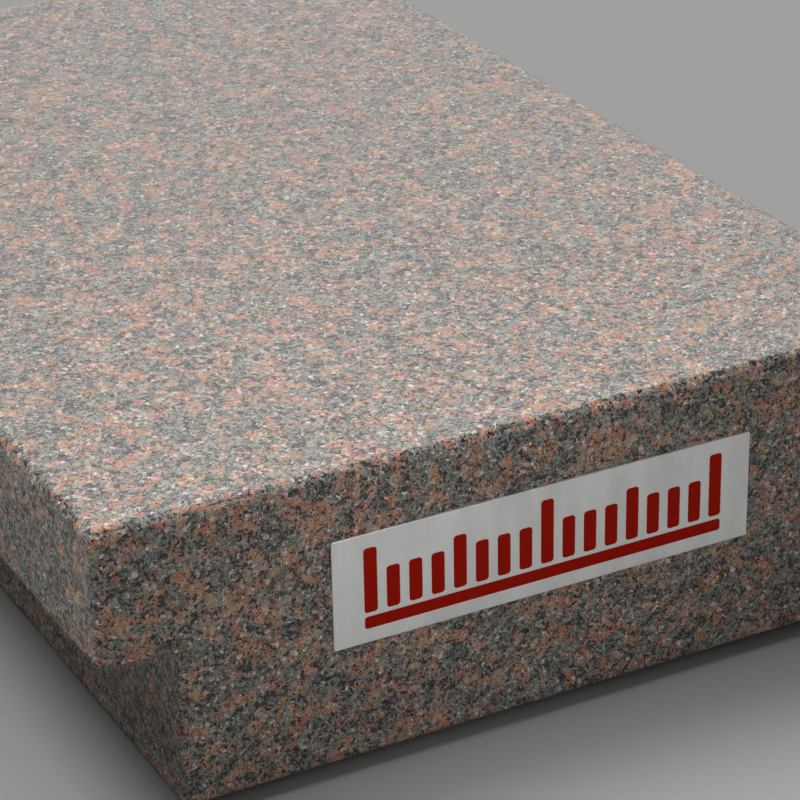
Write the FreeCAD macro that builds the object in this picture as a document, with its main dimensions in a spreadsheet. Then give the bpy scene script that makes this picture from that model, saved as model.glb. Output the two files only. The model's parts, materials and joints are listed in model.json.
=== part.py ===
import FreeCAD, Part
import os
import Sketcher
from FreeCAD import Vector

# Granite surface plate, 12 x 18 x 4 inch, with a clamping ledge along each long side
# The origin is at the middle of the footprint, on the surface that the support pads rest on
# +X runs along the 12 inch end that carries the nameplate, +Y away from it, +Z up

doc = FreeCAD.newDocument("SurfacePlate")

TOLERANCE = 0.001

# Driving dimensions in millimetres
DIMENSIONS = [
    ("plate_width", 304.8, "stone, left to right"),
    ("plate_length", 457.2, "stone, nameplate end to far end"),
    ("plate_thickness", 101.6, "stone, sawn underside to lapped top"),
    ("ledge_thickness", 46.0, "lapped top to ledge underside"),
    ("ledge_depth", 25.4, "how far each ledge overhangs the set-back side"),
    ("ledge_root_radius", 2.5, "left by the saw in the corner under a ledge"),
    ("edge_rounding", 3.2, "top edges and the upright corners of the ledges"),
    ("arris", 1.0, "small bevel on every lower edge"),
    ("nameplate_width", 151.0, "nameplate, left to right"),
    ("nameplate_height", 38.0, "nameplate, top to bottom"),
    ("nameplate_thickness", 0.8, "nameplate, sheet thickness"),
    ("nameplate_corner", 0.6, "corner radius of the nameplate"),
    ("nameplate_edge", 0.15, "eased front edge of the nameplate"),
    ("nameplate_drop", 42.2, "lapped top to the nameplate's middle"),
    ("pad_diameter", 50.8, "support pad"),
    ("pad_thickness", 6.35, "support pad"),
    ("pad_bevel", 0.8, "bevel round the foot of a support pad"),
    ("pad_end_inset", 91.4, "end of the stone to a pad's middle"),
    ("pad_side_inset", 50.0, "set-back side to the middle of a paired pad"),
]

sheet = doc.addObject("Spreadsheet::Sheet", "Dimensions")
for row, (alias, value, meaning) in enumerate(DIMENSIONS, start=1):
    sheet.set(f"A{row}", alias)
    sheet.set(f"B{row}", str(value))
    sheet.set(f"C{row}", meaning)
    sheet.setAlias(f"B{row}", alias)
doc.recompute()


def new_body(label, **placement):
    """A body whose place is worked out from the sheet: x, y and z are expressions."""
    body = doc.addObject("PartDesign::Body", label)
    body.Label = label
    for axis, expression in placement.items():
        body.setExpression(f"Placement.Base.{axis}", expression)
    return body


def new_sketch(body, name, plane):
    """A sketch on one of the body's own origin planes."""
    sketch = body.newObject("Sketcher::SketchObject", name)
    support = next(o for o in body.Origin.OriginFeatures if o.Role == plane)
    sketch.AttachmentSupport = [(support, "")]
    sketch.MapMode = "FlatFace"
    return sketch


def closed_outline(sketch, corners, mirrored=()):
    """Lines through the corners in order, each level or upright; the mirrored ones centre on the upright axis."""
    count = len(corners)
    for i, start in enumerate(corners):
        end = corners[(i + 1) % count]
        sketch.addGeometry(Part.LineSegment(Vector(*start), Vector(*end)), False)
        if i in mirrored:
            sketch.addConstraint(Sketcher.Constraint("Symmetric", i, 1, i, 2, -2))
        elif start[1] == end[1]:
            sketch.addConstraint(Sketcher.Constraint("Horizontal", i))
        else:
            sketch.addConstraint(Sketcher.Constraint("Vertical", i))
    for i in range(count):
        sketch.addConstraint(Sketcher.Constraint("Coincident", i, 2, (i + 1) % count, 1))


def distance(sketch, kind, first, second, name, expression, value):
    """A named distance from one (line, end) to another, bound to the sheet."""
    index = sketch.addConstraint(Sketcher.Constraint(kind, *first, *second, value))
    sketch.renameConstraint(index, name)
    sketch.setExpression(f"Constraints.{name}", expression)


def pad(body, sketch, name, length, side="One side"):
    """The sketch's outline made solid; length is an expression."""
    feature = body.newObject("PartDesign::Pad", name)
    feature.Profile = sketch
    feature.SideType = side
    feature.setExpression("Length", length)
    doc.recompute()
    return feature


def edges_where(shape, wanted):
    """Names of the edges whose middle and direction pass the test."""
    names = []
    for number, edge in enumerate(shape.Edges, start=1):
        middle = edge.valueAt((edge.FirstParameter + edge.LastParameter) / 2)
        ends = [v.Point for v in edge.Vertexes]
        along = (ends[-1] - ends[0]).normalize() if len(ends) > 1 else Vector()
        if wanted(middle, along):
            names.append(f"Edge{number}")
    return names


def ease(body, kind, name, base, edges, size_property, expression):
    """A fillet or a chamfer on the named edges of the base feature."""
    feature = body.newObject(f"PartDesign::{kind}", name)
    feature.Base = (base, edges)
    feature.setExpression(size_property, expression)
    doc.recompute()
    return feature


def same(a, b):
    return abs(a - b) < TOLERANCE


# Granite plate: a T section carried from end to end
def make_granite_plate():
    half = sheet.plate_width / 2
    inner = half - sheet.ledge_depth
    top = sheet.plate_thickness
    under = top - sheet.ledge_thickness
    end = sheet.plate_length / 2
    root = sheet.ledge_root_radius

    body = new_body("granite_plate", z="Dimensions.pad_thickness")
    section = new_sketch(body, "PlateSection", "XZ_Plane")
    corners = [
        (-inner, 0), (inner, 0), (inner, under), (half, under),
        (half, top), (-half, top), (-half, under), (-inner, under),
    ]
    base_line, right_under, right_face, top_line, left_face = 0, 2, 3, 4, 5
    closed_outline(section, corners, mirrored=(base_line, top_line))
    origin = (-1, 1)
    section.addConstraint(Sketcher.Constraint("PointOnObject", base_line, 1, -1))
    section.addConstraint(Sketcher.Constraint("Equal", right_face, left_face))
    distance(section, "DistanceX", origin, (right_face, 2), "half_width",
             "Dimensions.plate_width / 2", half)
    distance(section, "DistanceY", origin, (right_face, 2), "thickness",
             "Dimensions.plate_thickness", top)
    distance(section, "DistanceX", (right_under, 1), (right_under, 2), "overhang",
             "Dimensions.ledge_depth", sheet.ledge_depth)
    distance(section, "DistanceY", (right_face, 1), (right_face, 2), "ledge",
             "Dimensions.ledge_thickness", sheet.ledge_thickness)
    block = pad(body, section, "PlateBlock", "Dimensions.plate_length", side="Symmetric")

    def in_root(middle, along):
        return same(abs(middle.x), inner) and same(middle.z, under) and same(abs(along.y), 1)

    rooted = ease(body, "Fillet", "LedgeRoots", block, edges_where(block.Shape, in_root),
                  "Radius", "Dimensions.ledge_root_radius")

    def on_top_or_ledge_corner(middle, along):
        upright = same(abs(along.z), 1) and same(abs(middle.x), half)
        return same(middle.z, top) or upright

    rounded = ease(body, "Fillet", "TopRounding", rooted,
                   edges_where(rooted.Shape, on_top_or_ledge_corner),
                   "Radius", "Dimensions.edge_rounding")

    def on_lower_edge(middle, along):
        if same(middle.z, 0):
            return True
        on_end = same(abs(middle.y), end) and middle.z < under + TOLERANCE
        if on_end:
            return same(abs(along.x), 1) or same(abs(middle.x), inner) or middle.z > under - root
        below_rounding = same(middle.z, under) and abs(middle.x) > half - sheet.edge_rounding
        return below_rounding

    ease(body, "Chamfer", "LowerArrises", rounded, edges_where(rounded.Shape, on_lower_edge),
         "Size", "Dimensions.arris")
    return body


# Nameplate: a thin sheet stuck flat to the nameplate end
def make_nameplate():
    width = sheet.nameplate_width / 2
    height = sheet.nameplate_height / 2
    body = new_body("nameplate", y="-Dimensions.plate_length / 2",
                    z="Dimensions.pad_thickness + Dimensions.plate_thickness - Dimensions.nameplate_drop")
    outline = new_sketch(body, "NameplateOutline", "XZ_Plane")
    closed_outline(outline, [(-width, -height), (width, -height), (width, height), (-width, height)])
    bottom, top = 0, 2
    outline.addConstraint(Sketcher.Constraint("Symmetric", bottom, 1, top, 1, -1, 1))
    distance(outline, "DistanceX", (bottom, 1), (bottom, 2), "width",
             "Dimensions.nameplate_width", 2 * width)
    distance(outline, "DistanceY", (bottom, 2), (top, 1), "height",
             "Dimensions.nameplate_height", 2 * height)
    blank = pad(body, outline, "NameplateBlank", "Dimensions.nameplate_thickness")

    def through_thickness(middle, along):
        return same(abs(along.y), 1)

    cornered = ease(body, "Fillet", "NameplateCorners", blank,
                    edges_where(blank.Shape, through_thickness),
                    "Radius", "Dimensions.nameplate_corner")

    def on_front(middle, along):
        return same(middle.y, -sheet.nameplate_thickness)

    ease(body, "Fillet", "NameplateEdge", cornered, edges_where(cornered.Shape, on_front),
         "Radius", "Dimensions.nameplate_edge")
    return body


# Support pads: three discs on the sawn underside, two at the nameplate end and one at the far end
PAIRED_PAD_X = "(Dimensions.plate_width / 2 - Dimensions.ledge_depth - Dimensions.pad_side_inset)"
END_PAD_Y = "(Dimensions.plate_length / 2 - Dimensions.pad_end_inset)"
PAD_PLACES = {
    "support_pad_front_left": {"x": f"-{PAIRED_PAD_X}", "y": f"-{END_PAD_Y}"},
    "support_pad_front_right": {"x": PAIRED_PAD_X, "y": f"-{END_PAD_Y}"},
    "support_pad_rear": {"y": END_PAD_Y},
}


def make_support_pad(label, place):
    body = new_body(label, **place)
    outline = new_sketch(body, f"{label}_outline", "XY_Plane")
    outline.addGeometry(Part.Circle(Vector(), Vector(0, 0, 1), sheet.pad_diameter / 2), False)
    outline.addConstraint(Sketcher.Constraint("Coincident", 0, 3, -1, 1))
    index = outline.addConstraint(Sketcher.Constraint("Diameter", 0, sheet.pad_diameter))
    outline.renameConstraint(index, "diameter")
    outline.setExpression("Constraints.diameter", "Dimensions.pad_diameter")
    disc = pad(body, outline, f"{label}_disc", "Dimensions.pad_thickness")

    def round_the_foot(middle, along):
        return same(middle.z, 0)

    ease(body, "Chamfer", f"{label}_bevel", disc, edges_where(disc.Shape, round_the_foot),
         "Size", "Dimensions.pad_bevel")
    return body


bodies = [make_granite_plate(), make_nameplate()]
bodies += [make_support_pad(label, place) for label, place in PAD_PLACES.items()]
doc.recompute()

# Every feature has to be good before anything is written
for obj in doc.Objects:
    if "Invalid" in obj.State or "Error" in obj.State:
        raise RuntimeError(f"{obj.Label} failed: {obj.State}")
for body in bodies:
    if body.Shape.isNull() or not body.Shape.isValid() or len(body.Shape.Solids) != 1:
        raise RuntimeError(f"{body.Label} isn't one valid solid")

os.makedirs("parts", exist_ok=True)
for body in bodies:
    body.Shape.exportStep(os.path.join("parts", f"{body.Label}.step"))
    box = body.Shape.BoundBox
    print(body.Label, "volume", round(body.Shape.Volume), "mm3, box",
          [round(v, 3) for v in (box.XMin, box.YMin, box.ZMin, box.XMax, box.YMax, box.ZMax)])
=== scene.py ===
"""Looks of a granite surface plate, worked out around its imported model.

The stone, its nameplate, the print on it and the support pads each have an operator, and so has the stage.
Everything is in metres in the model's own frame: +X along the end that carries the nameplate, +Y away from
that end, +Z up. New pieces are lattices, outlines and turned profiles that are worked out as whole arrays.
"""

import json
from math import cos, pi, radians, sin

import bpy
import numpy as np
from bpy.props import FloatProperty, FloatVectorProperty, IntProperty, PointerProperty
from mathutils import Matrix, Vector


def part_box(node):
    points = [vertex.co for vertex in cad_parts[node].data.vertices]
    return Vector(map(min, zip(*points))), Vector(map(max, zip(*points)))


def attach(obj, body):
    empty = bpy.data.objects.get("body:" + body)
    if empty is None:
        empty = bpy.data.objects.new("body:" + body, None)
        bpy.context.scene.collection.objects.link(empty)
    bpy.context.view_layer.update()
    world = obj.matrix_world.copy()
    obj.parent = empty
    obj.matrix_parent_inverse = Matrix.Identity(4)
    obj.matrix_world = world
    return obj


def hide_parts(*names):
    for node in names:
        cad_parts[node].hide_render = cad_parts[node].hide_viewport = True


bl_info = {
    "name": "Granite Surface Plate",
    "version": (1, 0, 0),
    "blender": (4, 5, 0),
    "location": "3D View > Sidebar > Surface Plate",
    "description": "Granite, nameplate, print, support pads and studio of a surface plate",
    "category": "Object",
}

# Model
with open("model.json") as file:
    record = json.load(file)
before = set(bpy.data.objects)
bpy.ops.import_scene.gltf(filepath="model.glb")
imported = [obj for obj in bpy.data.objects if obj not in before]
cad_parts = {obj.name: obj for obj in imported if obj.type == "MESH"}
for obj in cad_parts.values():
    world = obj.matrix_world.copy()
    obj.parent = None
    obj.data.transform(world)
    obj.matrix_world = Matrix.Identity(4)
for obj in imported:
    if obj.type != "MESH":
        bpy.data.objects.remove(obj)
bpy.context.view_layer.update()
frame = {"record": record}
STONE_LOW, STONE_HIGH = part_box("granite_plate")
SHEET_LOW, SHEET_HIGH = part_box("nameplate")
PAD_NODES = ("support_pad_front_left", "support_pad_front_right", "support_pad_rear")
MOUNTS = {mount["name"]: mount for mount in frame["record"]["mounts"]}
LEDGE_MIDDLE_X, _, LEDGE_Z = MOUNTS["ledge_underside_right"]["pos_m"]
HALF_WIDTH = STONE_HIGH.x
HALF_LENGTH = STONE_HIGH.y
HALF_STEM = 2 * LEDGE_MIDDLE_X - HALF_WIDTH

# Lengths
MM = 0.001
TINY = 1e-7
SAME_LINE = 0.01 * MM

# Stone: lengths of the waves in rubbed edges and ground faces, and how they vary the easing of an edge
LONG_HAND_WAVE = 26 * MM
SHORT_HAND_WAVE = 9 * MM
SHORT_WAVE_SHARE = 0.7
EASING_MEAN, EASING_SWING = 0.5, 0.35
SIDE_WAVE_LENGTH = 48 * MM

# Stone: the curve of an arris, how far a quarter circle cuts a corner, and lattice lines across an arris
BEVEL_POWER = 1.15
CORNER_CUT = 1 - 0.5 ** 0.5
STEM_LINES = np.array([0, 0.5, 1.0])
END_LINES = np.array([0, 0.35, 0.7, 1.0])

# Granite: where random numbers start to turn one mineral or tone into the next, and where they have done so
GRIT_BORDER = (0.32, 0.68)
QUARTZ_BORDER = (0.18, 0.56)
BLUSH_BORDER = (0.52, 0.92)
CLUSTER_BORDER = (0.66, 0.83)
SPECK_BORDER = (0.26, 0.56)
PALE_BORDER = (0.45, 0.95)
OCHRE_BORDER = (0.86, 0.92)
WHITE_BORDER = (0.86, 0.94)
MICA_BORDER = (0.44, 0.54)

# Granite: slight tints of single crystals
ROSY, LEAFY = (1.12, 0.94, 1.0), (0.88, 1.05, 1.0)
MELLOW, COOL = (1.0, 1.0, 0.82), (1.0, 1.0, 1.14)

# Granite: how far from the lapped top, or from a sawn face, a finish starts and is whole
LAPPED_BAND = (1.4 * MM, 0.2 * MM)
RUBBED_BAND = (3.4 * MM, 1.8 * MM)
RUBBED_LIMIT = 0.5 * MM
SAWN_BAND = (0.9 * MM, 0.3 * MM)
SAWN_RUN_IN = 3 * MM

# Granite: the middle of the saw blade's swing, the pitch of its marks, and how far they wander
SAW_CENTRE = (-0.62, 0.11, 0)
SAW_PITCH = 4.2 * MM
SAW_WANDER = 6 * MM

# Granite: the brightness that lapping leaves alone, and the most that it multiplies a paler crystal by
MIDDLE_TONE = 0.14
LAPPED_CLEARING = 1.05

# Print: every eighth tick is a long one and every fourth a middle one, and the points round each corner
LONG_EVERY = 8
MIDDLE_EVERY = 4
CORNER_STEPS = 8

# Pads: rings of points on the flat faces, as shares of the radius, and steps up the side
PAD_RINGS = np.array([0.35, 0.7, 0.9])
PAD_RISE_STEPS = 9

# Studio: where each lamp stands, what it faces, its width and height, and its power in watts
AREA_LIGHTS = {
    "softbox_behind": dict(place=(2.2, 4.25, 2.4), target=(0, 0, 0.1), width=5.4, height=3.3, power=148),
    "softbox_over_end": dict(
        place=(-0.06, -0.27, 0.45), target=(-0.06, -0.22, 0.1), width=0.25, height=0.2, power=0.55),
    "fill_front": dict(
        place=(-0.035, -0.38, 0.12), target=(-0.025, -0.25, 0.03), width=0.2, height=0.12, power=0.073),
    "strip_left": dict(
        place=(-0.95, -0.05, 0.16), target=(-0.152, -0.05, 0.105), width=1.2, height=0.03, power=0.065,
        colour=(0.82, 0.92, 1.0), spread=radians(10)),
}
OVERHEAD_FROM = (-0.30, 0.45, 1.0)
OVERHEAD_WIDTH = radians(30)
OVERHEAD_STRENGTH = 1.9


class StoneSettings(bpy.types.PropertyGroup):
    """Edges and surface of the block of stone."""

    edge_rounding: FloatProperty(
        name="Edge Rounding", description="Radius of the top edges and upright ledge corners",
        subtype="DISTANCE", unit="LENGTH", min=0.0005, max=0.01, default=0.0032)
    arris: FloatProperty(
        name="Arris", description="Rubbed bevel of every lower edge",
        subtype="DISTANCE", unit="LENGTH", min=0.0002, max=0.003, default=0.001)
    root_radius: FloatProperty(
        name="Root Radius", description="Corner that the saw leaves under a ledge",
        subtype="DISTANCE", unit="LENGTH", min=0.0005, max=0.01, default=0.0025)
    hand_easing: FloatProperty(
        name="Hand Easing", description="How unevenly the top edges are rubbed down",
        subtype="DISTANCE", unit="LENGTH", min=0, max=0.001, default=0.00035)
    side_wave: FloatProperty(
        name="Side Wave", description="Depth of the long waves in the ground and sawn faces",
        subtype="DISTANCE", unit="LENGTH", min=0, max=0.0005, default=0.00006)
    spacing: FloatProperty(
        name="Lattice Spacing", description="Distance between lattice lines on the open faces",
        subtype="DISTANCE", unit="LENGTH", min=0.002, max=0.02, default=0.003)
    seed: IntProperty(name="Seed", description="Seed of the uneven edges", min=0, default=7)


class GraniteSettings(bpy.types.PropertyGroup):
    """Minerals and finish of the stone."""

    orange: FloatVectorProperty(
        name="Orange Feldspar", description="Orange to salmon crystals, in clusters", subtype="COLOR",
        size=3, min=0, max=1, default=(0.44, 0.193, 0.116))
    ochre: FloatVectorProperty(
        name="Ochre Feldspar", description="A few yellower crystals among the orange ones", subtype="COLOR",
        size=3, min=0, max=1, default=(0.46, 0.264, 0.126))
    blush: FloatVectorProperty(
        name="Pale Pink Feldspar", description="Pale pink crystals round the orange ones", subtype="COLOR",
        size=3, min=0, max=1, default=(0.445, 0.335, 0.29))
    quartz: FloatVectorProperty(
        name="Grey Quartz", description="Grey quartz, the most of the stone", subtype="COLOR",
        size=3, min=0, max=1, default=(0.197, 0.199, 0.183))
    white: FloatVectorProperty(
        name="White Feldspar", description="Scattered white crystals", subtype="COLOR",
        size=3, min=0, max=1, default=(0.60, 0.545, 0.505))
    smoke: FloatVectorProperty(
        name="Smoky Quartz", description="The darker grey crystals", subtype="COLOR",
        size=3, min=0, max=1, default=(0.0365, 0.0333, 0.0282))
    mica: FloatVectorProperty(
        name="Black Mica", description="Brown-black flecks", subtype="COLOR",
        size=3, min=0, max=1, default=(0.019, 0.017, 0.0135))
    cluster_grain: FloatProperty(
        name="Cluster Grain", description="Width of an orange cluster", subtype="DISTANCE", unit="LENGTH",
        min=0.001, max=0.01, default=0.0032)
    crystal_grain: FloatProperty(
        name="Crystal Grain", description="Width of a common crystal", subtype="DISTANCE", unit="LENGTH",
        min=0.0005, max=0.005, default=0.0014)
    fleck_grain: FloatProperty(
        name="Fleck Grain", description="Width of the finest grain", subtype="DISTANCE", unit="LENGTH",
        min=0.0003, max=0.003, default=0.0007)
    lapped_depth: FloatProperty(
        name="Lapped Depth", description="How far lapping deepens the darker crystals",
        min=0, max=1, default=0.30)
    top_roughness: FloatProperty(
        name="Top Roughness", description="Satin gloss of the lapped top", min=0, max=1, default=0.46)
    side_roughness: FloatProperty(
        name="Side Roughness", description="Gloss of the ground sides", min=0, max=1, default=0.58)
    sawn_roughness: FloatProperty(
        name="Sawn Roughness", description="Gloss of the sawn underside and ledges",
        min=0, max=1, default=0.75)


class NameplateSettings(bpy.types.PropertyGroup):
    """The thin sheet on one end of the stone."""

    metal: FloatVectorProperty(
        name="Metal", description="Satin aluminium", subtype="COLOR",
        size=3, min=0, max=1, default=(0.93, 0.93, 0.915))
    roughness: FloatProperty(
        name="Roughness", description="How satin the metal is", min=0, max=1, default=0.46)
    corner: FloatProperty(
        name="Corner Radius", description="Radius of the four corners",
        subtype="DISTANCE", unit="LENGTH", min=0.0001, max=0.005, default=0.0006)
    rolled_edge: FloatProperty(
        name="Rolled Edge", description="Radius where the face turns into the cut edge",
        subtype="DISTANCE", unit="LENGTH", min=0.00002, max=0.0004, default=0.00028)
    spacing: FloatProperty(
        name="Lattice Spacing", description="Distance between lattice lines on the face",
        subtype="DISTANCE", unit="LENGTH", min=0.0005, max=0.02, default=0.002)


class PrintSettings(bpy.types.PropertyGroup):
    """A plain red scale printed on the nameplate."""

    ink: FloatVectorProperty(
        name="Ink", description="Clear red ink over the metal", subtype="COLOR",
        size=3, min=0, max=1, default=(0.43, 0.013, 0.005))
    roughness: FloatProperty(
        name="Roughness", description="How satin the ink is", min=0, max=1, default=0.42)
    depth: FloatProperty(
        name="Ink Depth", description="Thickness of the ink above the sheet",
        subtype="DISTANCE", unit="LENGTH", min=0.00001, max=0.0002, default=0.00004)
    length: FloatProperty(
        name="Scale Length", description="Length of the scale",
        subtype="DISTANCE", unit="LENGTH", min=0.05, max=0.15, default=0.1296)
    tick_count: IntProperty(
        name="Ticks", description="Number of ticks on the scale", min=3, max=65, default=17)
    tick_width: FloatProperty(
        name="Tick Width", description="Width of a tick",
        subtype="DISTANCE", unit="LENGTH", min=0.0005, max=0.01, default=0.0046)
    long_tick: FloatProperty(
        name="Long Tick", description="Height of every eighth tick",
        subtype="DISTANCE", unit="LENGTH", min=0.005, max=0.03, default=0.0225)
    middle_tick: FloatProperty(
        name="Middle Tick", description="Height of every fourth tick",
        subtype="DISTANCE", unit="LENGTH", min=0.005, max=0.03, default=0.0185)
    short_tick: FloatProperty(
        name="Short Tick", description="Height of the other ticks",
        subtype="DISTANCE", unit="LENGTH", min=0.003, max=0.03, default=0.0145)
    bar_height: FloatProperty(
        name="Bar Height", description="Height of the bar under the ticks",
        subtype="DISTANCE", unit="LENGTH", min=0.0005, max=0.01, default=0.0042)
    gap: FloatProperty(
        name="Gap", description="Space between the bar and the ticks",
        subtype="DISTANCE", unit="LENGTH", min=0.0002, max=0.005, default=0.0014)


class PadSettings(bpy.types.PropertyGroup):
    """The three rubber pads under the stone."""

    rubber: FloatVectorProperty(
        name="Rubber", description="Matt black rubber", subtype="COLOR",
        size=3, min=0, max=1, default=(0.022, 0.022, 0.023))
    dust: FloatVectorProperty(
        name="Dust", description="Grey bloom on the rubber", subtype="COLOR",
        size=3, min=0, max=1, default=(0.09, 0.088, 0.085))
    bevel: FloatProperty(
        name="Bevel", description="Bevel round the foot",
        subtype="DISTANCE", unit="LENGTH", min=0, max=0.003, default=0.0008)
    bulge: FloatProperty(
        name="Bulge", description="How far the load drives the side out",
        subtype="DISTANCE", unit="LENGTH", min=0, max=0.002, default=0.0003)
    sides: IntProperty(name="Sides", description="Steps round a pad", min=12, max=256, default=96)


class StudioSettings(bpy.types.PropertyGroup):
    """Camera, floor and surroundings."""

    camera_place: FloatVectorProperty(
        name="Camera Place", description="Where the camera stands", subtype="TRANSLATION", unit="LENGTH",
        size=3, default=(-0.42469, -0.94887, 0.52462))
    camera_yaw: FloatProperty(
        name="Camera Yaw", description="Turn of the view from +Y towards +X",
        subtype="ANGLE", unit="ROTATION", default=radians(27.4368))
    camera_pitch: FloatProperty(
        name="Camera Pitch", description="How far the view looks down",
        subtype="ANGLE", unit="ROTATION", default=radians(26.1312))
    camera_roll: FloatProperty(
        name="Camera Roll", description="Tilt of the horizon",
        subtype="ANGLE", unit="ROTATION", default=radians(-1.1274))
    lens: FloatProperty(
        name="Lens", description="Focal length on a sensor of the given width",
        subtype="DISTANCE_CAMERA", unit="CAMERA", default=136.3)
    sensor_width: FloatProperty(
        name="Sensor Width", description="Width of the camera's sensor",
        subtype="DISTANCE_CAMERA", unit="CAMERA", default=36)
    floor_colour: FloatVectorProperty(
        name="Floor Colour", description="Plain pale floor", subtype="COLOR",
        size=3, min=0, max=1, default=(0.38, 0.38, 0.372))
    floor_reach: FloatProperty(
        name="Floor Reach", description="Distance from the middle of the floor to each of its sides",
        subtype="DISTANCE", unit="LENGTH", min=1, max=100, default=12)
    wall_colour: FloatVectorProperty(
        name="Wall Colour", description="Plain grey wall that only the camera sees", subtype="COLOR",
        size=3, min=0, max=1, default=(0.235, 0.235, 0.23))
    haze_colour: FloatVectorProperty(
        name="Haze Colour", description="Faint light from all round", subtype="COLOR",
        size=3, min=0, max=1, default=(0.85, 0.88, 0.92))
    haze_strength: FloatProperty(
        name="Haze Strength", description="How strong the light from all round is",
        min=0, max=1, default=0.05)


class Shader:
    """Short calls that add and link the nodes of one material."""

    def __init__(self, name):
        self.material = bpy.data.materials.new(name)
        self.material.use_nodes = True
        self.tree = self.material.node_tree
        self.tree.nodes.clear()
        self.output = self.add("ShaderNodeOutputMaterial")
        self.surface = self.add("ShaderNodeBsdfPrincipled")
        self.link(self.surface.outputs["BSDF"], self.output.inputs["Surface"])
        self.place = self.add("ShaderNodeTexCoord").outputs["Object"]

    def add(self, kind, **settings):
        node = self.tree.nodes.new(kind)
        for key, value in settings.items():
            setattr(node, key, value)
        return node

    def link(self, source, target):
        self.tree.links.new(source, target)

    def feed(self, value, target):
        """Links a socket, or sets a plain number or colour."""
        if isinstance(value, bpy.types.NodeSocket):
            self.link(value, target)
        elif hasattr(value, "__len__") and len(value) == 3 and target.type == "RGBA":
            target.default_value = (*value, 1)
        else:
            target.default_value = value

    def finish(self, **inputs):
        """Feeds the surface's own sockets, named with _ for a space, and gives the material."""
        for name, value in inputs.items():
            self.feed(value, self.surface.inputs[name.replace("_", " ")])
        return self.material

    def math(self, operation, a, b=0.0, third=0.0):
        node = self.add("ShaderNodeMath", operation=operation)
        self.feed(a, node.inputs[0])
        self.feed(b, node.inputs[1])
        self.feed(third, node.inputs[2])
        return node.outputs[0]

    def vector(self, operation, a, b):
        node = self.add("ShaderNodeVectorMath", operation=operation)
        self.feed(a, node.inputs[0])
        self.feed(b, node.inputs[1])
        return node.outputs[0]

    def scaled(self, a, factor):
        node = self.add("ShaderNodeVectorMath", operation="SCALE")
        self.feed(a, node.inputs[0])
        self.feed(factor, node.inputs["Scale"])
        return node.outputs[0]

    def length(self, a):
        node = self.add("ShaderNodeVectorMath", operation="LENGTH")
        self.feed(a, node.inputs[0])
        return node.outputs["Value"]

    def split(self, place):
        node = self.add("ShaderNodeSeparateXYZ")
        self.feed(place, node.inputs[0])
        return node.outputs

    def brightness(self, colour):
        node = self.add("ShaderNodeRGBToBW")
        self.feed(colour, node.inputs[0])
        return node.outputs[0]

    def noise(self, place, size, detail):
        """Smooth noise whose lumps are about this wide, as a number and as a colour."""
        node = self.add("ShaderNodeTexNoise")
        self.feed(place, node.inputs["Vector"])
        self.feed(1 / size, node.inputs["Scale"])
        self.feed(detail, node.inputs["Detail"])
        return node.outputs["Fac"], node.outputs["Color"]

    def cells(self, place, size):
        """Crystals about this wide, with three random numbers for each one."""
        node = self.add("ShaderNodeTexVoronoi")
        self.feed(place, node.inputs["Vector"])
        self.feed(1 / size, node.inputs["Scale"])
        split = self.add("ShaderNodeSeparateColor")
        self.link(node.outputs["Color"], split.inputs[0])
        return split.outputs[0], split.outputs[1], split.outputs[2]

    def wander(self, place, size, reach):
        """The place with a smooth random shift, which bends the straight borders between crystals."""
        _, noise = self.noise(place, size, detail=2.0)
        shift = self.scaled(self.vector("SUBTRACT", noise, (0.5, 0.5, 0.5)), reach)
        return self.vector("ADD", place, shift)

    def total(self, *pairs):
        """The sum of values, each times its own share."""
        result = 0.0
        for value, share in pairs:
            result = self.math("MULTIPLY_ADD", value, share, third=result)
        return result

    def step(self, value, low, high):
        """0 below low, 1 above high, smooth between."""
        node = self.add("ShaderNodeMapRange", interpolation_type="SMOOTHSTEP")
        self.feed(value, node.inputs["Value"])
        self.feed(low, node.inputs["From Min"])
        self.feed(high, node.inputs["From Max"])
        return node.outputs["Result"]

    def range(self, value, low, high):
        """0 to 1 turned into low to high."""
        node = self.add("ShaderNodeMapRange")
        self.feed(value, node.inputs["Value"])
        self.feed(low, node.inputs["To Min"])
        self.feed(high, node.inputs["To Max"])
        return node.outputs["Result"]

    def mix(self, factor, a, b, blend="MIX"):
        """A blend of two colours. The Mix node's colour sockets are its inputs 6 and 7 and its output 2."""
        node = self.add("ShaderNodeMix", data_type="RGBA", blend_type=blend)
        self.feed(factor, node.inputs[0])
        self.feed(a, node.inputs[6])
        self.feed(b, node.inputs[7])
        return node.outputs[2]

    def bump(self, height, depth, strength=1.0):
        """Relief of this depth where the height goes from 0 to 1."""
        node = self.add("ShaderNodeBump")
        self.feed(height, node.inputs["Height"])
        self.feed(depth, node.inputs["Distance"])
        self.feed(strength, node.inputs["Strength"])
        return node.outputs["Normal"]


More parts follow.
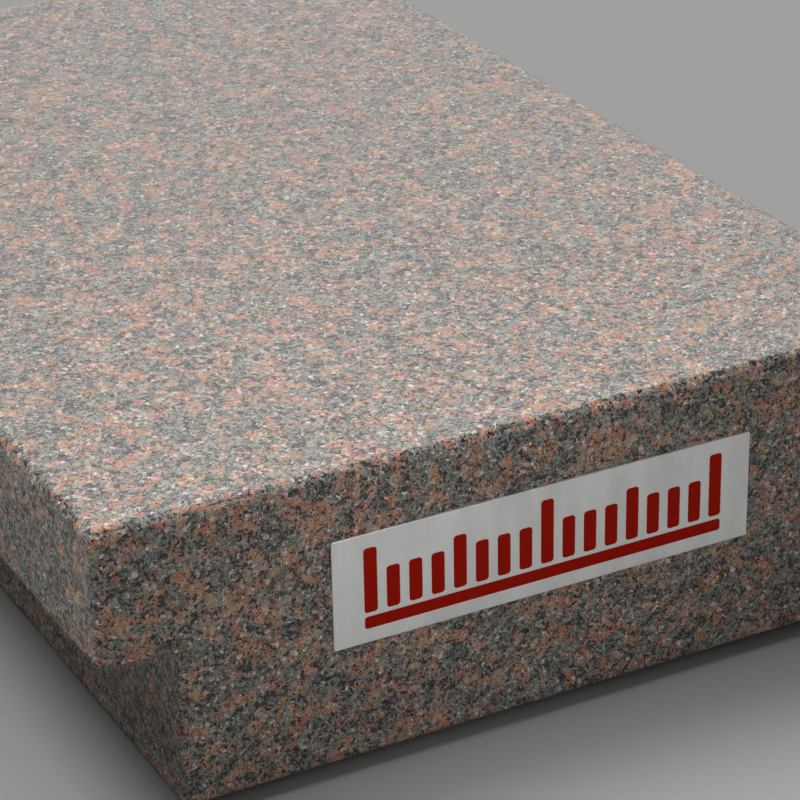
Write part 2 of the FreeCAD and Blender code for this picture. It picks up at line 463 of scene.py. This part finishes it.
def mineral_colour(shade, granite, large, common, fleck, drift, grit):
    """The colour of the crystals, and 1 where one is black.

    Sums of the crystals' random numbers name the mineral and its tone: first the greys and pale pinks, then
    the orange clusters with ochre and pale pink in them, then a slight tint, then white and black.
    """
    tone = shade.total((large[1], 0.22), (common[0], 0.42), (fleck[0], 0.36))
    grey = shade.mix(shade.step(tone, *QUARTZ_BORDER), granite.smoke, granite.quartz)
    grey = shade.mix(shade.step(tone, *BLUSH_BORDER), grey, granite.blush)

    warm = shade.total((large[0], 0.50), (common[1], 0.17), (drift, 0.62))
    cluster = shade.step(warm, *CLUSTER_BORDER)
    speck = shade.step(shade.total((common[2], 0.5), (fleck[1], 0.5)), *SPECK_BORDER)
    orange = shade.mix(shade.step(common[2], *PALE_BORDER), granite.orange, granite.blush)
    orange = shade.mix(shade.step(common[0], *OCHRE_BORDER), orange, granite.ochre)
    solid = shade.range(speck, low=0.54, high=1.0)
    colour = shade.mix(shade.math("MULTIPLY", cluster, solid), grey, orange)

    rosy = shade.mix(shade.total((large[1], 0.6), (common[2], 0.4)), ROSY, LEAFY)
    mellow = shade.mix(shade.total((large[2], 0.6), (common[1], 0.4)), MELLOW, COOL)
    colour = shade.mix(1.0, shade.mix(1.0, colour, rosy, blend="MULTIPLY"), mellow, blend="MULTIPLY")

    white = shade.total((common[2], 0.78), (fleck[0], 0.22))
    colour = shade.mix(shade.step(white, *WHITE_BORDER), colour, granite.white)
    black = shade.total((fleck[2], 0.62), (common[2], -0.25), (large[2], 0.12))
    black = shade.step(black, *MICA_BORDER)
    colour = shade.mix(black, colour, granite.mica)
    return shade.scaled(colour, shade.range(grit, low=0.52, high=1.56)), black


def stone_finishes(shade):
    """Where the stone is lapped, where it is sawn, and where its top edge is rubbed, each from 0 to 1.

    Height tells the lapped top and the rubbed edge from the ground sides. Sawn are the foot of the stem
    and the underside of a ledge, beyond the stem's side.
    """
    along_x, _, height = shade.split(shade.place)
    lapped = shade.step(height, *(STONE_HIGH.z - depth for depth in LAPPED_BAND))
    from_ledge = shade.math("ABSOLUTE", shade.math("SUBTRACT", height, LEDGE_Z))
    under_ledge = shade.step(from_ledge, *SAWN_BAND)
    beside_stem = shade.step(shade.math("ABSOLUTE", along_x), HALF_STEM, HALF_STEM + SAWN_RUN_IN)
    foot = shade.step(height, *(STONE_LOW.z + rise for rise in SAWN_BAND))
    sawn = shade.math("MAXIMUM", foot, shade.math("MULTIPLY", under_ledge, beside_stem))
    rubbed = shade.step(height, *(STONE_HIGH.z - depth for depth in RUBBED_BAND))
    below_top = shade.step(height, STONE_HIGH.z, STONE_HIGH.z - RUBBED_LIMIT)
    return lapped, sawn, shade.math("MULTIPLY", rubbed, below_top)


def saw_marks(shade, drift):
    """Arcs left by a saw blade: a sine wave of the distance from the middle of its swing, plus drift."""
    from_centre = shade.vector("SUBTRACT", shade.place, SAW_CENTRE)
    swing = shade.length(shade.vector("MULTIPLY", from_centre, (1, 1, 0)))
    passes = shade.math("ADD", swing, shade.math("MULTIPLY", drift, SAW_WANDER))
    return shade.math("SINE", shade.math("MULTIPLY", passes, 2 * pi / SAW_PITCH))


def granite_material(granite):
    """One block of crystals that runs through the stone, with three finishes on its outside.

    Cells of three sizes give each crystal its random numbers, so that orange comes in clusters and the
    finest flecks break up every larger crystal. Lapping deepens the darker crystals: it multiplies each by
    a power of its brightness over the middle tone.
    """
    shade = Shader("granite")
    large = shade.cells(shade.wander(shade.place, size=1.1 * MM, reach=1.3 * MM), granite.cluster_grain)
    bent = shade.wander(shade.place, size=0.5 * MM, reach=0.45 * MM)
    common = shade.cells(bent, granite.crystal_grain)
    fleck = shade.cells(bent, granite.fleck_grain)
    drift, _ = shade.noise(shade.place, size=11 * MM, detail=1.0)
    grit, _ = shade.noise(shade.place, size=0.42 * MM, detail=1.0)
    grit = shade.step(grit, *GRIT_BORDER)

    lapped, sawn, rubbed = stone_finishes(shade)
    colour, black = mineral_colour(shade, granite, large, common, fleck, drift, grit)
    darkness = shade.math("DIVIDE", shade.brightness(colour), MIDDLE_TONE)
    deepened = shade.math("POWER", darkness, shade.math("MULTIPLY", lapped, granite.lapped_depth))
    colour = shade.scaled(colour, shade.math("MINIMUM", deepened, LAPPED_CLEARING))

    satin = shade.total((fleck[1], 0.12), (black, -0.10))
    gloss = shade.mix(sawn, (granite.side_roughness,) * 3, (granite.sawn_roughness,) * 3)
    gloss = shade.mix(lapped, gloss, (granite.top_roughness,) * 3)
    roughness = shade.total((gloss, 1.0), (satin, 1.0), (rubbed, -0.16))

    pits = shade.total((fleck[0], 0.5), (grit, 0.5))
    relief = shade.total((pits, 1.0), (shade.math("MULTIPLY", saw_marks(shade, drift), sawn), 1.4))
    normal = shade.bump(relief, depth=0.05 * MM, strength=shade.range(lapped, low=0.6, high=0.08))
    return shade.finish(Base_Color=colour, Roughness=roughness, Normal=normal)


def nameplate_material(sheet):
    """Satin aluminium: an etched grain, and broad upright streaks in its tone and gloss."""
    shade = Shader("nameplate_metal")
    etched, _ = shade.noise(shade.place, size=0.30 * MM, detail=2.0)
    stretched = shade.vector("MULTIPLY", shade.place, (1, 1, 0.3))
    streak, _ = shade.noise(stretched, size=8 * MM, detail=3.0)
    tone = shade.range(shade.step(streak, low=0.3, high=0.7), low=0.91, high=1.02)
    roughness = shade.total((etched, 0.10), (streak, 0.24), (1.0, sheet.roughness - 0.17))
    relief = shade.total((etched, 0.012), (streak, 2.2))
    normal = shade.bump(relief, depth=0.12 * MM)
    colour = shade.scaled(sheet.metal, tone)
    return shade.finish(Base_Color=colour, Metallic=1.0, Roughness=roughness, Normal=normal)


def ink_material(scale):
    """Clear red ink that colours the metal's own shine, a little deeper where it lies thicker."""
    shade = Shader("nameplate_ink")
    lay, _ = shade.noise(shade.place, size=3.0 * MM, detail=3.0)
    colour = shade.scaled(scale.ink, shade.range(lay, low=0.88, high=1.12))
    roughness = shade.total((lay, 0.12), (1.0, scale.roughness - 0.06))
    return shade.finish(Base_Color=colour, Metallic=1.0, Roughness=roughness)


def rubber_material(pads):
    """Matt moulded rubber with a fine pebble and a bloom of dust."""
    shade = Shader("pad_rubber")
    pebble, _ = shade.noise(shade.place, size=0.6 * MM, detail=3.0)
    bloom, _ = shade.noise(shade.place, size=9 * MM, detail=3.0)
    bloom = shade.step(bloom, low=0.45, high=0.75)
    colour = shade.mix(shade.math("MULTIPLY", bloom, 0.25), pads.rubber, pads.dust)
    normal = shade.bump(pebble, depth=0.06 * MM, strength=0.7)
    roughness = shade.range(pebble, low=0.72, high=0.88)
    return shade.finish(Base_Color=colour, Roughness=roughness, Normal=normal)


def floor_material(studio):
    """A matt floor of one tone."""
    return Shader("floor").finish(Base_Color=studio.floor_colour, Roughness=0.9)


def close_steps(radius, count=6):
    """Distances r (1 - tan t) from an edge, for even turns t up to 45 degrees: even steps round it."""
    return radius * (1 - np.tan(np.linspace(0, pi / 4, count)))


def rounded_lines(low, high, spacing, *roundings):
    """Lattice lines from low to high: even ones, and close ones where an edge at either end is rounded."""
    inset = max(roundings)
    count = max(2, round((high - low - 2 * inset) / spacing) + 1)
    lines = [np.linspace(low + inset, high - inset, count)]
    for radius in roundings:
        lines += [low + close_steps(radius), high - close_steps(radius)]
    return merged(np.concatenate(lines))


def merged(lines):
    """The lines in order, without those that lie on another."""
    lines = np.sort(lines)
    return lines[np.concatenate(([True], np.diff(lines) > SAME_LINE))]


def lattice_surface(xs, ys, zs, filled):
    """The outside of the filled cells of a lattice, as points and quads.

    A lattice face belongs to it where a filled cell meets an empty one, and its corners run anticlockwise
    seen from the empty side. Filled holds one truth value for each cell.
    """
    places = np.stack(np.meshgrid(xs, ys, zs, indexing="ij"), axis=-1).reshape(-1, 3)
    numbers = np.arange(len(places)).reshape(len(xs), len(ys), len(zs))
    quads = []
    for axis in range(3):
        order = (axis, (axis + 1) % 3, (axis + 2) % 3)
        turned = numbers.transpose(order)
        cells = np.pad(filled.transpose(order).astype(int), ((1, 1), (0, 0), (0, 0)))
        change = np.diff(cells, axis=0)
        for sign in (-1, 1):
            i, j, k = np.nonzero(change == sign)
            ring = [turned[i, j, k], turned[i, j + 1, k], turned[i, j + 1, k + 1], turned[i, j, k + 1]]
            quads.append(np.stack(ring[::-sign], axis=1))
    quads = np.concatenate(quads)
    used, quads = np.unique(quads, return_inverse=True)
    return places[used], quads.reshape(-1, 4)


def eased(u, v, power):
    """Draws a square corner onto a curve: the greater of u and v over their power mean, 1 on either face.

    With a power of 2 the corner becomes a quarter circle, and with a power near 1 a bevel.
    """
    mean = (np.abs(u) ** power + np.abs(v) ** power) ** (1 / power)
    return np.where(mean > TINY, np.maximum(u, v) / np.maximum(mean, TINY), 1.0)


def waves(points, length, seed, count=9):
    """Even, gentle waves between about -1 and 1: plane waves of near this length in seeded directions."""
    random = np.random.default_rng(seed)
    direction = random.normal(size=(count, 3))
    direction /= np.linalg.norm(direction, axis=1, keepdims=True)
    turns = points @ (direction * (2 * pi / (length * random.uniform(0.7, 1.4, (count, 1))))).T
    return np.sin(turns + random.uniform(0, 2 * pi, count)).sum(axis=1) * (2 / count) ** 0.5


def make_object(name, points, faces, material, node=None):
    """A closed piece from whole arrays, which rides with the stone and stands for the node, if any."""
    mesh = bpy.data.meshes.new(name)
    mesh.from_pydata(points, [], faces)
    mesh.polygons.foreach_set("use_smooth", np.ones(len(mesh.polygons), bool))
    mesh.materials.append(material)
    mesh.update()
    piece = bpy.data.objects.new(name, mesh)
    bpy.context.scene.collection.objects.link(piece)
    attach(piece, "root")
    if node:
        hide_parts(node)
    return piece


def lower_outline(x, z, root):
    """Draws the square corner under a ledge onto a circle, and measures each point from the lower outline.

    The outline is the side of the stem, the quarter circle of this radius and the underside of the ledge.
    Gives x and z, the depth under the outline, and the way out of the stone there.
    """
    centre_x, centre_z = HALF_STEM + root, LEDGE_Z - root
    over, rise = x - centre_x, z - centre_z
    reach = np.maximum(np.hypot(over, rise), TINY)
    hollow = (over < 0) & (rise > 0) & (x > HALF_STEM - TINY) & (z < LEDGE_Z + TINY)
    x = np.where(hollow, centre_x + over * root / reach, x)
    z = np.where(hollow, centre_z + rise * root / reach, z)

    over, rise = x - centre_x, z - centre_z
    reach = np.maximum(np.hypot(over, rise), TINY)
    round_root = (over < 0) & (rise > 0)
    under = over >= 0
    depth = np.where(round_root, reach - root, np.where(under, z - LEDGE_Z, HALF_STEM - x))
    out_x = np.where(round_root, -over / reach, np.where(under, 0.0, 1.0))
    out_z = np.where(round_root, -rise / reach, np.where(under, -1.0, 0.0))
    return x, z, depth, out_x, out_z


def shaped_stone(points, stone):
    """Turns the square T block into the worked one, for all points at once.

    Past is how far a point lies beyond a line set back from an edge, and eased shrinks a pair of these: the
    two plan ones of an upright ledge corner, then plan and height at the top, then plan and depth under the
    lower outline, then at the foot. Waves then rub the top edges unevenly and swell the upright faces.
    """
    side, end = np.sign(points[:, 0]), np.sign(points[:, 1])
    rounding, bevel = stone.edge_rounding, stone.arris
    y = np.abs(points[:, 1])
    x, z, depth, out_x, out_z = lower_outline(np.abs(points[:, 0]), points[:, 2], stone.root_radius)

    past_x = np.maximum(x - (HALF_WIDTH - rounding), 0)
    past_y = np.maximum(y - (HALF_LENGTH - rounding), 0)
    past = np.maximum(past_x, past_y)
    plan = eased(past_x, past_y, 2) / np.maximum(past, TINY)
    plan_x, plan_y = past_x * plan, past_y * plan
    past_z = np.maximum(z - (STONE_HIGH.z - rounding), 0)
    top = eased(past, past_z, 2)

    near = np.maximum(bevel - depth, 0)
    brim = np.maximum(past - (rounding - bevel), 0)
    low = eased(near, brim, BEVEL_POWER)
    back = near * (low - 1)

    stem_x = np.maximum(x - (HALF_STEM - bevel), 0) * low
    stem_y = np.maximum(y - (HALF_LENGTH - bevel), 0) * low
    stem = np.maximum(stem_x, stem_y) / np.maximum(low, TINY)
    sink = np.maximum(STONE_LOW.z + bevel - z, 0)
    foot = np.where(sink > 0, eased(stem, sink, BEVEL_POWER), 1.0)

    out = past * top + brim * (low - 1)
    new_x = np.minimum(x, HALF_WIDTH - rounding) + plan_x * out + out_x * back + stem_x * (foot - 1)
    new_y = np.minimum(y, HALF_LENGTH - rounding) + plan_y * out + stem_y * (foot - 1)
    new_z = np.minimum(z, STONE_HIGH.z - rounding) + past_z * top + out_z * back + sink * (1 - foot)

    long_waves = waves(points, LONG_HAND_WAVE, stone.seed)
    uneven = long_waves + SHORT_WAVE_SHARE * waves(points, SHORT_HAND_WAVE, stone.seed + 1)
    easing = stone.hand_easing * np.clip(EASING_MEAN + EASING_SWING * uneven, 0, 1)
    rubbed = (1 - top) / CORNER_CUT * easing
    new_x -= plan_x * rubbed
    new_y -= plan_y * rubbed
    new_z -= rubbed
    swell = stone.side_wave * waves(points, SIDE_WAVE_LENGTH, stone.seed + 2)
    swell = swell * (z < STONE_HIGH.z - rounding)
    new_x += np.where(x > HALF_STEM - TINY, swell, 0)
    new_y += np.where(y > HALF_LENGTH - TINY, swell, 0)
    return np.stack([new_x * side, new_y * end, new_z], axis=1)


def stone_mesh(stone):
    """A lattice T block, cells being stone inside the stem or above the ledges, then shaped."""
    rounding, bevel = stone.edge_rounding, stone.arris
    root_steps = close_steps(stone.root_radius)
    stem_steps = bevel * STEM_LINES
    end_steps = bevel * END_LINES
    stem = np.concatenate([HALF_STEM - stem_steps, HALF_STEM + root_steps])
    xs = merged(np.concatenate([
        rounded_lines(-HALF_WIDTH, HALF_WIDTH, stone.spacing, rounding), stem, -stem,
        HALF_WIDTH - end_steps, end_steps - HALF_WIDTH]))
    ys = merged(np.concatenate([
        rounded_lines(-HALF_LENGTH, HALF_LENGTH, stone.spacing, rounding),
        HALF_LENGTH - end_steps, end_steps - HALF_LENGTH]))
    zs = merged(np.concatenate([
        np.arange(STONE_LOW.z + bevel, STONE_HIGH.z - rounding, stone.spacing), STONE_LOW.z + end_steps,
        LEDGE_Z + stem_steps, LEDGE_Z - root_steps, STONE_HIGH.z - close_steps(rounding)]))
    middle_x = np.abs(xs[1:] + xs[:-1]) / 2
    middle_z = (zs[1:] + zs[:-1]) / 2
    section = (middle_x[:, None] < HALF_STEM) | (middle_z[None, :] > LEDGE_Z)
    filled = np.repeat(section[:, None, :], len(ys) - 1, axis=1)
    points, quads = lattice_surface(xs, ys, zs, filled)
    return shaped_stone(points, stone), quads.tolist()


def nameplate_mesh(sheet):
    """A lattice sheet: its plan corners are drawn onto circles, and its front edge is rolled round."""
    xs = rounded_lines(SHEET_LOW.x, SHEET_HIGH.x, sheet.spacing, sheet.corner, sheet.rolled_edge)
    zs = rounded_lines(SHEET_LOW.z, SHEET_HIGH.z, sheet.spacing, sheet.corner, sheet.rolled_edge)
    roll_steps = close_steps(sheet.rolled_edge, count=4)
    ys = np.concatenate([SHEET_LOW.y + roll_steps[::-1], [SHEET_HIGH.y]])
    filled = np.ones((len(xs) - 1, len(ys) - 1, len(zs) - 1), bool)
    points, quads = lattice_surface(xs, ys, zs, filled)

    middle = np.array(SHEET_LOW + SHEET_HIGH) / 2
    inner = np.array(SHEET_HIGH - SHEET_LOW) / 2 - sheet.corner
    offset = points - middle
    past_x = np.maximum(np.abs(offset[:, 0]) - inner[0], 0)
    past_z = np.maximum(np.abs(offset[:, 2]) - inner[2], 0)
    past = np.maximum(past_x, past_z)
    plan = eased(past_x, past_z, 2) / np.maximum(past, TINY)
    front = np.maximum(SHEET_LOW.y + sheet.rolled_edge - points[:, 1], 0)
    brim = np.maximum(past - (sheet.corner - sheet.rolled_edge), 0)
    roll = eased(front, brim, 2)
    out = past + brim * (roll - 1)
    x = np.sign(offset[:, 0]) * (np.minimum(np.abs(offset[:, 0]), inner[0]) + past_x * plan * out)
    z = np.sign(offset[:, 2]) * (np.minimum(np.abs(offset[:, 2]), inner[2]) + past_z * plan * out)
    y = np.maximum(points[:, 1], SHEET_LOW.y + sheet.rolled_edge) - front * roll
    return np.stack([middle[0] + x, y, middle[2] + z], axis=1), quads.tolist()


def print_mesh(scale):
    """Round-ended bars of ink, all worked out together: one long bar, and a row of ticks on it.

    A bar's outline is four quarter circles joined by straight lines. It is carried from just inside the
    sheet to the ink's own face, and a middle point closes each end.
    """
    steps = np.arange(scale.tick_count)
    heights = np.where(steps % MIDDLE_EVERY == 0, scale.middle_tick, scale.short_tick)
    heights = np.where(steps % LONG_EVERY == 0, scale.long_tick, heights)
    whole = scale.bar_height + scale.gap + scale.long_tick
    middle_x = (SHEET_LOW.x + SHEET_HIGH.x) / 2
    foot = (SHEET_LOW.z + SHEET_HIGH.z - whole) / 2
    tick_foot = foot + scale.bar_height + scale.gap
    tick_x = middle_x + np.linspace(-0.5, 0.5, scale.tick_count) * (scale.length - scale.tick_width)
    centre_x = np.append(tick_x, middle_x)
    centre_z = np.append(tick_foot + heights / 2, foot + scale.bar_height / 2)
    half_x = np.append(np.full(scale.tick_count, scale.tick_width / 2), scale.length / 2)
    half_z = np.append(heights / 2, scale.bar_height / 2)
    radius = np.minimum(half_x, half_z) / 2

    corner = np.repeat(np.arange(4), CORNER_STEPS)
    angle = (corner + np.tile(np.linspace(0, 1, CORNER_STEPS), 4)) * pi / 2
    sign_x, sign_z = np.array([1, -1, -1, 1])[corner], np.array([1, 1, -1, -1])[corner]
    x = centre_x[:, None] + sign_x * (half_x - radius)[:, None] + radius[:, None] * np.cos(angle)
    z = centre_z[:, None] + sign_z * (half_z - radius)[:, None] + radius[:, None] * np.sin(angle)

    bars, ring = x.shape
    levels = (SHEET_LOW.y + scale.depth, SHEET_LOW.y - scale.depth)
    loops = [np.stack([x, np.full_like(x, level), z], axis=-1) for level in levels]
    ends = [np.stack([centre_x, np.full(bars, level), centre_z], axis=-1)[:, None] for level in levels]
    points = np.concatenate(loops + ends, axis=1)
    here = np.arange(ring)
    after = (here + 1) % ring
    wall = np.stack([here, after, ring + after, ring + here], axis=1)
    back = np.stack([after, here, np.full(ring, 2 * ring)], axis=1)
    front = np.stack([ring + here, ring + after, np.full(ring, 2 * ring + 1)], axis=1)
    first = (np.arange(bars) * points.shape[1])[:, None, None]
    faces = [(part[None] + first).reshape(-1, part.shape[1]).tolist() for part in (wall, back, front)]
    return points.reshape(-1, 3), sum(faces, [])


def pad_mesh(low, high, pads):
    """A turned disc: radius and height of its profile are carried once round the upright axis.

    The side follows half a sine wave between the bevel and the stone, which is how a loaded pad swells.
    """
    radius = (high.x - low.x) / 2
    rise = np.linspace(0, 1, PAD_RISE_STEPS)
    side_r = radius + pads.bulge * (np.sin(rise * pi) - 1)
    side_z = low.z + pads.bevel + rise * (high.z - low.z - pads.bevel)
    rings = PAD_RINGS * radius
    profile_r = np.concatenate([rings, [radius - pads.bulge - pads.bevel], side_r, rings[::-1]])
    profile_z = np.concatenate([np.full(len(rings) + 1, low.z), side_z, np.full(len(rings), high.z)])
    turn = np.arange(pads.sides) * 2 * pi / pads.sides
    middle_x, middle_y = (low.x + high.x) / 2, (low.y + high.y) / 2
    x = middle_x + profile_r[:, None] * np.cos(turn)
    y = middle_y + profile_r[:, None] * np.sin(turn)
    z = np.repeat(profile_z[:, None], pads.sides, axis=1)
    points = np.stack([x, y, z], axis=-1).reshape(-1, 3)
    poles = [(middle_x, middle_y, low.z), (middle_x, middle_y, high.z)]

    number = np.arange(len(points)).reshape(len(profile_r), pads.sides)
    beside = np.roll(number, -1, axis=1)
    quads = np.stack([number[:-1], beside[:-1], beside[1:], number[1:]], axis=-1).reshape(-1, 4)
    below = np.stack([beside[0], number[0], np.full(pads.sides, number.size)], axis=1)
    above = np.stack([number[-1], beside[-1], np.full(pads.sides, number.size + 1)], axis=1)
    return np.concatenate([points, poles]), quads.tolist() + below.tolist() + above.tolist()


def look_matrix(place, yaw, pitch, roll):
    """Stands at the place and looks along the yaw and pitch, turned by the roll."""
    forward = Vector((sin(yaw) * cos(pitch), cos(yaw) * cos(pitch), -sin(pitch)))
    level = Vector((cos(yaw), -sin(yaw), 0))
    upright = level.cross(forward)
    right = cos(roll) * level + sin(roll) * upright
    up = cos(roll) * upright - sin(roll) * level
    turn = Matrix((right, up, -forward)).transposed().to_4x4()
    return Matrix.Translation(place) @ turn


def add_camera(studio):
    """The camera at the photograph's viewing angle."""
    camera = bpy.data.cameras.new("camera")
    camera.sensor_width = studio.sensor_width
    camera.lens = studio.lens
    viewer = bpy.data.objects.new("camera", camera)
    viewer.matrix_world = look_matrix(
        Vector(studio.camera_place), studio.camera_yaw, studio.camera_pitch, studio.camera_roll)
    bpy.context.scene.collection.objects.link(viewer)
    bpy.context.scene.camera = viewer


def add_floor(studio):
    """One large square on the plane that the pads rest on."""
    reach = studio.floor_reach
    corners = [(-reach, -reach, 0), (reach, -reach, 0), (reach, reach, 0), (-reach, reach, 0)]
    mesh = bpy.data.meshes.new("floor")
    mesh.from_pydata(corners, [], [(0, 1, 2, 3)])
    mesh.materials.append(floor_material(studio))
    floor = bpy.data.objects.new("floor", mesh)
    bpy.context.scene.collection.objects.link(floor)


def area_light(name, place, target, width, height, power, colour=(1, 1, 1), spread=pi):
    """A lit rectangle that faces the target and that the camera doesn't see."""
    light = bpy.data.lights.new(name, "AREA")
    light.shape = "RECTANGLE"
    light.size, light.size_y = width, height
    light.energy = power
    light.color = colour
    light.spread = spread
    lamp = bpy.data.objects.new(name, light)
    lamp.location = place
    lamp.rotation_euler = (Vector(target) - Vector(place)).to_track_quat("-Z", "Y").to_euler()
    lamp.visible_camera = False
    bpy.context.scene.collection.objects.link(lamp)


def overhead_light():
    """Even light from one direction, as wide as a bright ceiling, so that all the floor is lit alike."""
    light = bpy.data.lights.new("overcast_above", "SUN")
    light.energy = OVERHEAD_STRENGTH
    light.angle = OVERHEAD_WIDTH
    lamp = bpy.data.objects.new("overcast_above", light)
    lamp.rotation_euler = (-Vector(OVERHEAD_FROM)).to_track_quat("-Z", "Y").to_euler()
    bpy.context.scene.collection.objects.link(lamp)


def studio_world(studio):
    """A faint even light, in front of a plain grey wall that only the camera sees."""
    world = bpy.data.worlds.new("studio")
    world.use_nodes = True
    nodes, links = world.node_tree.nodes, world.node_tree.links
    haze = nodes["Background"]
    haze.inputs["Color"].default_value = (*studio.haze_colour, 1)
    haze.inputs["Strength"].default_value = studio.haze_strength
    wall = nodes.new("ShaderNodeBackground")
    wall.inputs["Color"].default_value = (*studio.wall_colour, 1)
    seen = nodes.new("ShaderNodeMixShader")
    links.new(nodes.new("ShaderNodeLightPath").outputs["Is Camera Ray"], seen.inputs[0])
    links.new(haze.outputs[0], seen.inputs[1])
    links.new(wall.outputs[0], seen.inputs[2])
    links.new(seen.outputs[0], nodes["World Output"].inputs["Surface"])
    return world


class SURFACEPLATE_OT_granite_plate(bpy.types.Operator):
    """Build the block of granite"""

    bl_idname = "surface_plate.granite_plate"
    bl_label = "Granite Plate"

    def execute(self, context):
        points, quads = stone_mesh(context.scene.plate_stone)
        granite = granite_material(context.scene.plate_granite)
        piece = make_object("granite_block", points, quads, granite, "granite_plate")
        return {"FINISHED"}


class SURFACEPLATE_OT_nameplate(bpy.types.Operator):
    """Build the satin nameplate"""

    bl_idname = "surface_plate.nameplate"
    bl_label = "Nameplate"

    def execute(self, context):
        sheet = context.scene.plate_nameplate
        points, quads = nameplate_mesh(sheet)
        piece = make_object("nameplate_sheet", points, quads, nameplate_material(sheet), "nameplate")
        return {"FINISHED"}


class SURFACEPLATE_OT_nameplate_print(bpy.types.Operator):
    """Print the plain red scale on the nameplate"""

    bl_idname = "surface_plate.nameplate_print"
    bl_label = "Nameplate Print"

    def execute(self, context):
        scale = context.scene.plate_print
        points, faces = print_mesh(scale)
        piece = make_object("nameplate_scale", points, faces, ink_material(scale))
        piece.data.polygons.foreach_set("use_smooth", np.zeros(len(faces), bool))
        return {"FINISHED"}


class SURFACEPLATE_OT_support_pads(bpy.types.Operator):
    """Build the three rubber support pads"""

    bl_idname = "surface_plate.support_pads"
    bl_label = "Support Pads"

    def execute(self, context):
        pads = context.scene.plate_pads
        rubber = rubber_material(pads)
        for node in PAD_NODES:
            points, faces = pad_mesh(*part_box(node), pads)
            piece = make_object(node.replace("support_pad", "rubber_pad"), points, faces, rubber, node)
        return {"FINISHED"}


class SURFACEPLATE_OT_stage(bpy.types.Operator):
    """Add the floor, the lights and the camera"""

    bl_idname = "surface_plate.stage"
    bl_label = "Stage"

    def execute(self, context):
        studio = context.scene.plate_studio
        add_camera(studio)
        add_floor(studio)
        for name, light in AREA_LIGHTS.items():
            area_light(name, **light)
        overhead_light()
        context.scene.world = studio_world(studio)
        context.scene.view_settings.view_transform = "Standard"
        return {"FINISHED"}


BUILD_ORDER = (
    SURFACEPLATE_OT_granite_plate,
    SURFACEPLATE_OT_nameplate,
    SURFACEPLATE_OT_nameplate_print,
    SURFACEPLATE_OT_support_pads,
    SURFACEPLATE_OT_stage,
)

SETTINGS = {
    "plate_stone": StoneSettings,
    "plate_granite": GraniteSettings,
    "plate_nameplate": NameplateSettings,
    "plate_print": PrintSettings,
    "plate_pads": PadSettings,
    "plate_studio": StudioSettings,
}


class SURFACEPLATE_PT_sidebar(bpy.types.Panel):
    """Lists the pieces of the surface plate"""

    bl_idname = "SURFACEPLATE_PT_sidebar"
    bl_label = "Surface Plate"
    bl_space_type = "VIEW_3D"
    bl_region_type = "UI"
    bl_category = "Surface Plate"

    def draw(self, context):
        for operator in BUILD_ORDER:
            self.layout.operator(operator.bl_idname)


CLASSES = (*SETTINGS.values(), *BUILD_ORDER, SURFACEPLATE_PT_sidebar)


def register():
    for cls in CLASSES:
        bpy.utils.register_class(cls)
    for name, group in SETTINGS.items():
        setattr(bpy.types.Scene, name, PointerProperty(type=group))


def unregister():
    for name in SETTINGS:
        delattr(bpy.types.Scene, name)
    for cls in reversed(CLASSES):
        bpy.utils.unregister_class(cls)


def main():
    register()
    bpy.ops.surface_plate.granite_plate()
    bpy.ops.surface_plate.nameplate()
    bpy.ops.surface_plate.nameplate_print()
    bpy.ops.surface_plate.support_pads()
    bpy.ops.surface_plate.stage()


if __name__ == "__main__":
    main()
